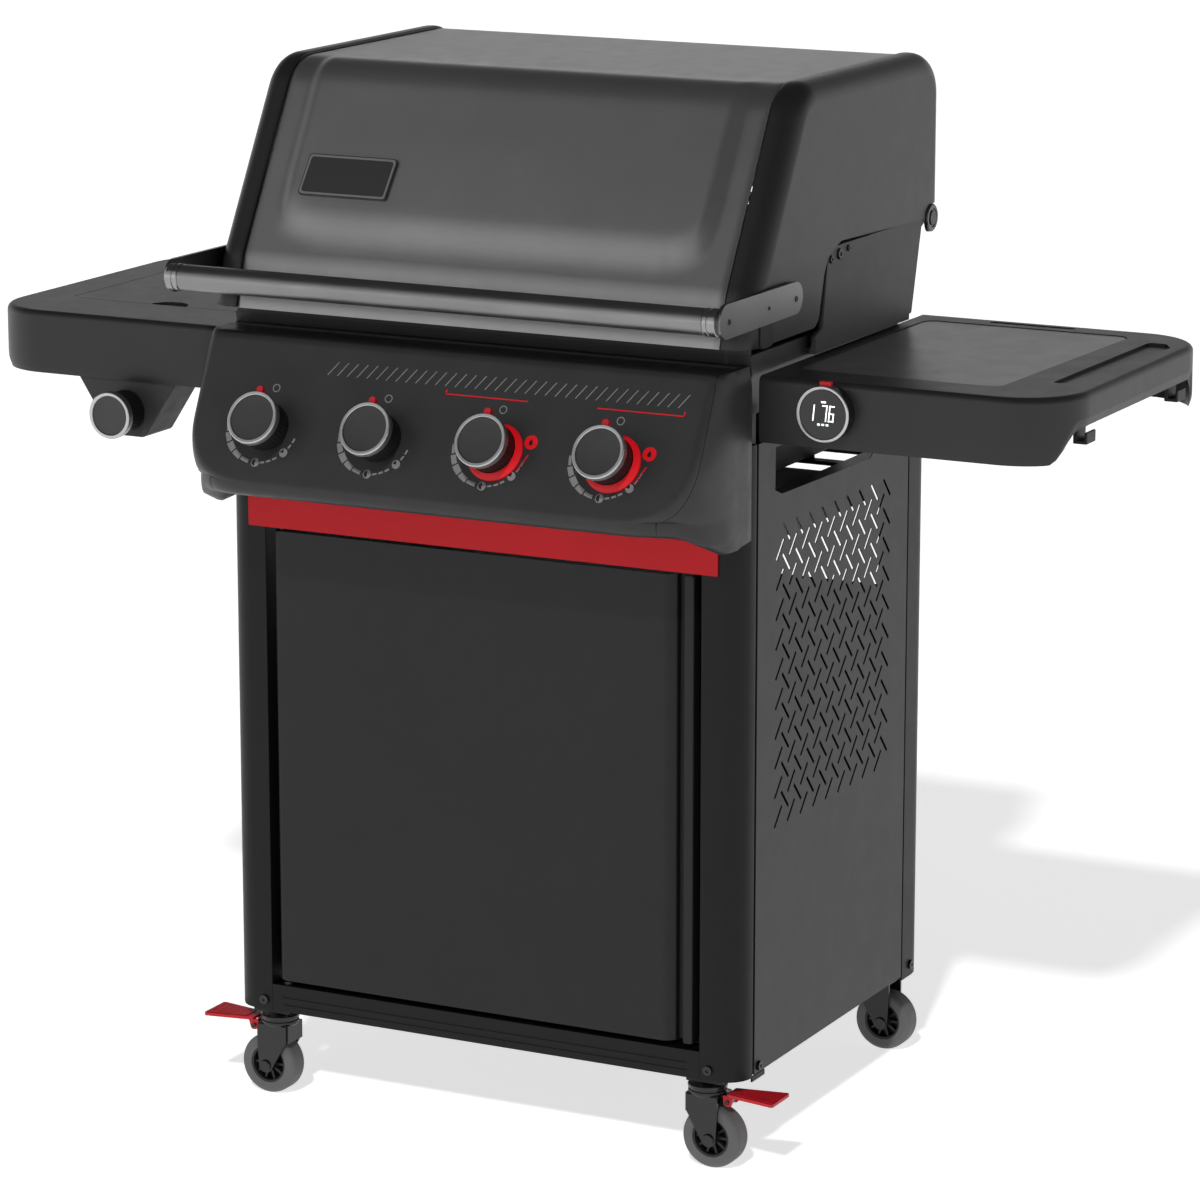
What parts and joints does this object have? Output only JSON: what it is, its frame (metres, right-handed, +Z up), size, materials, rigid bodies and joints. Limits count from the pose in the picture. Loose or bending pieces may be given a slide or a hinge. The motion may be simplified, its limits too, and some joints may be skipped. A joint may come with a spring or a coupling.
{
  "type": "gas barbecue grill",
  "caption": "Gas barbecue on a four-wheeled cabinet cart with a hinged lid, burners under grates, a side burner, two side shelves and a pull-out grease tray.",
  "frame": {"origin": "on the floor, under the middle of the whole object's bounding box", "axes": "+X to the right of a person who faces the controls, +Y from the controls to the back, +Z up"},
  "size_m": [1.27, 0.6108, 1.117],
  "materials": {
    "body_paint": "satin black powder coat with a fine texture",
    "lid_paint": "satin dark grey enamel",
    "cap_paint": "cast, satin black paint",
    "frame_paint": "satin black",
    "door_paint": "satin black powder coat",
    "red_paint": "satin red",
    "cookbox_paint": "cast, matte heat-resistant black paint",
    "shelf_paint": "satin black powder coat",
    "insert_paint": "satin dark grey",
    "handle_metal": "dark bright plating",
    "bracket_metal": "satin",
    "plate_metal": "black plate with a light frame",
    "stainless": "brushed",
    "galvanised": "dull zinc",
    "grate_iron": "matte seasoned iron",
    "brass": "satin",
    "screw_steel": "blackened",
    "knob_plastic": "matte black with a light grey ring",
    "pedal_plastic": "satin red",
    "button_plastic": "satin red",
    "display_plastic": "gloss black",
    "fork_steel": "gloss black",
    "tyre": "dark grey tread, black hub"
  },
  "bodies": {
    "cart": {"left_front_post": "body_paint", "right_front_post": "body_paint", "left_rear_post": "body_paint", "right_rear_post": "body_paint", "left_side_panel": "body_paint", "right_side_panel": "body_paint", "bottom_panel": "body_paint", "bottom_rail": "body_paint", "rear_panel": "body_paint", "top_frame": "frame_paint", "door_jamb": "frame_paint", "tray_rails": "galvanised", "caster_sockets": "frame_paint", "cart_screws": "screw_steel", "control_panel": "body_paint", "cookbox": "cookbox_paint", "burner_manifold": "brass", "burner_tubes": "stainless", "heat_tents": "stainless", "left_grate": "grate_iron", "right_grate": "grate_iron", "warming_rack": "stainless", "warming_rack_legs": "stainless", "left_shelf": "shelf_paint", "right_shelf": "shelf_paint", "right_shelf_insert": "insert_paint", "shelf_hooks": "frame_paint", "side_burner_bowl": "cookbox_paint", "side_burner_head": "brass", "side_burner_grate": "grate_iron", "side_burner_housing": "body_paint", "display_housing": "display_plastic", "lid_hinge_pins": "screw_steel", "door_hinge_pins": "screw_steel"},
    "lid": {"lid_shell": "lid_paint", "left_lid_cap": "cap_paint", "right_lid_cap": "cap_paint", "lid_handle": "handle_metal", "handle_brackets": "bracket_metal", "name_plate": "plate_metal"},
    "door": {"door": "door_paint"},
    "knob_1_body": {"knob_1": "knob_plastic"},
    "knob_2_body": {"knob_2": "knob_plastic"},
    "knob_3_body": {"knob_3": "knob_plastic"},
    "knob_4_body": {"knob_4": "knob_plastic"},
    "side_burner_knob_body": {"side_burner_knob": "knob_plastic"},
    "side_cover": {"side_burner_cover": "shelf_paint"},
    "button": {"display_button": "button_plastic"},
    "tray": {"grease_tray": "galvanised", "tray_front": "red_paint"},
    "front_left_caster": {"front_left_fork": "fork_steel"},
    "front_left_roller": {"front_left_wheel": "tyre"},
    "front_right_caster": {"front_right_fork": "fork_steel"},
    "front_right_roller": {"front_right_wheel": "tyre"},
    "rear_left_caster": {"rear_left_fork": "fork_steel"},
    "rear_left_roller": {"rear_left_wheel": "tyre"},
    "rear_right_caster": {"rear_right_fork": "fork_steel"},
    "rear_right_roller": {"rear_right_wheel": "tyre"},
    "front_left_lock": {"front_left_pedal": "pedal_plastic"},
    "front_right_lock": {"front_right_pedal": "pedal_plastic"}
  },
  "joints": [
    {"name": "lid_hinge", "type": "hinge", "parent": "cart", "child": "lid", "pos_m": [0, 0.26939, 0.94], "axis": [-1, 0, 0], "range_deg": [0, 80]},
    {"name": "door_hinge", "type": "hinge", "parent": "cart", "child": "door", "pos_m": [-0.24, -0.16461, 0.38], "axis": [0, 0, -1], "range_deg": [0, 100]},
    {"name": "knob_1_turn", "type": "hinge", "parent": "cart", "child": "knob_1_body", "pos_m": [-0.19875, -0.26111, 0.758], "axis": [0, -0.8829, 0.4695], "range_deg": [0, 235]},
    {"name": "knob_2_turn", "type": "hinge", "parent": "cart", "child": "knob_2_body", "pos_m": [-0.06625, -0.26111, 0.758], "axis": [0, -0.8829, 0.4695], "range_deg": [0, 235]},
    {"name": "knob_3_turn", "type": "hinge", "parent": "cart", "child": "knob_3_body", "pos_m": [0.06625, -0.26111, 0.758], "axis": [0, -0.8829, 0.4695], "range_deg": [0, 235]},
    {"name": "knob_4_turn", "type": "hinge", "parent": "cart", "child": "knob_4_body", "pos_m": [0.19875, -0.26111, 0.758], "axis": [0, -0.8829, 0.4695], "range_deg": [0, 235]},
    {"name": "side_burner_knob_turn", "type": "hinge", "parent": "cart", "child": "side_burner_knob_body", "pos_m": [-0.449, -0.13661, 0.7335], "axis": [0, -1, 0], "range_deg": [0, 235]},
    {"name": "side_cover_hinge", "type": "hinge", "parent": "cart", "child": "side_cover", "pos_m": [-0.46, 0.18139, 0.829], "axis": [-1, 0, 0], "range_deg": [0, 95]},
    {"name": "display_button_press", "type": "slide", "parent": "cart", "child": "button", "axis": [0, 0, -1], "range_m": [0, 0.002], "stiffness_N_per_m": 300},
    {"name": "grease_tray_slide", "type": "slide", "parent": "cart", "child": "tray", "axis": [0, -1, 0], "range_m": [0, 0.3]},
    {"name": "front_left_swivel", "type": "hinge", "parent": "cart", "child": "front_left_caster", "pos_m": [-0.2575, -0.15561, 0.095], "axis": [0, 0, 1], "continuous": true},
    {"name": "front_left_roll", "type": "hinge", "parent": "front_left_caster", "child": "front_left_roller", "pos_m": [-0.2665, -0.15561, 0.033], "axis": [0, 1, 0], "continuous": true},
    {"name": "front_right_swivel", "type": "hinge", "parent": "cart", "child": "front_right_caster", "pos_m": [0.2575, -0.15561, 0.095], "axis": [0, 0, 1], "continuous": true},
    {"name": "front_right_roll", "type": "hinge", "parent": "front_right_caster", "child": "front_right_roller", "pos_m": [0.2665, -0.15561, 0.033], "axis": [0, 1, 0], "continuous": true},
    {"name": "rear_left_swivel", "type": "hinge", "parent": "cart", "child": "rear_left_caster", "pos_m": [-0.2575, 0.28439, 0.095], "axis": [0, 0, 1], "continuous": true},
    {"name": "rear_left_roll", "type": "hinge", "parent": "rear_left_caster", "child": "rear_left_roller", "pos_m": [-0.2665, 0.28439, 0.033], "axis": [0, 1, 0], "continuous": true},
    {"name": "rear_right_swivel", "type": "hinge", "parent": "cart", "child": "rear_right_caster", "pos_m": [0.2575, 0.28439, 0.095], "axis": [0, 0, 1], "continuous": true},
    {"name": "rear_right_roll", "type": "hinge", "parent": "rear_right_caster", "child": "rear_right_roller", "pos_m": [0.2665, 0.28439, 0.033], "axis": [0, 1, 0], "continuous": true},
    {"name": "front_left_lock_tip", "type": "hinge", "parent": "front_left_caster", "child": "front_left_lock", "pos_m": [-0.2845, -0.15561, 0.074], "axis": [0, -1, 0], "range_deg": [0, 12]},
    {"name": "front_right_lock_tip", "type": "hinge", "parent": "front_right_caster", "child": "front_right_lock", "pos_m": [0.2845, -0.15561, 0.074], "axis": [0, 1, 0], "range_deg": [0, 12]}
  ]
}
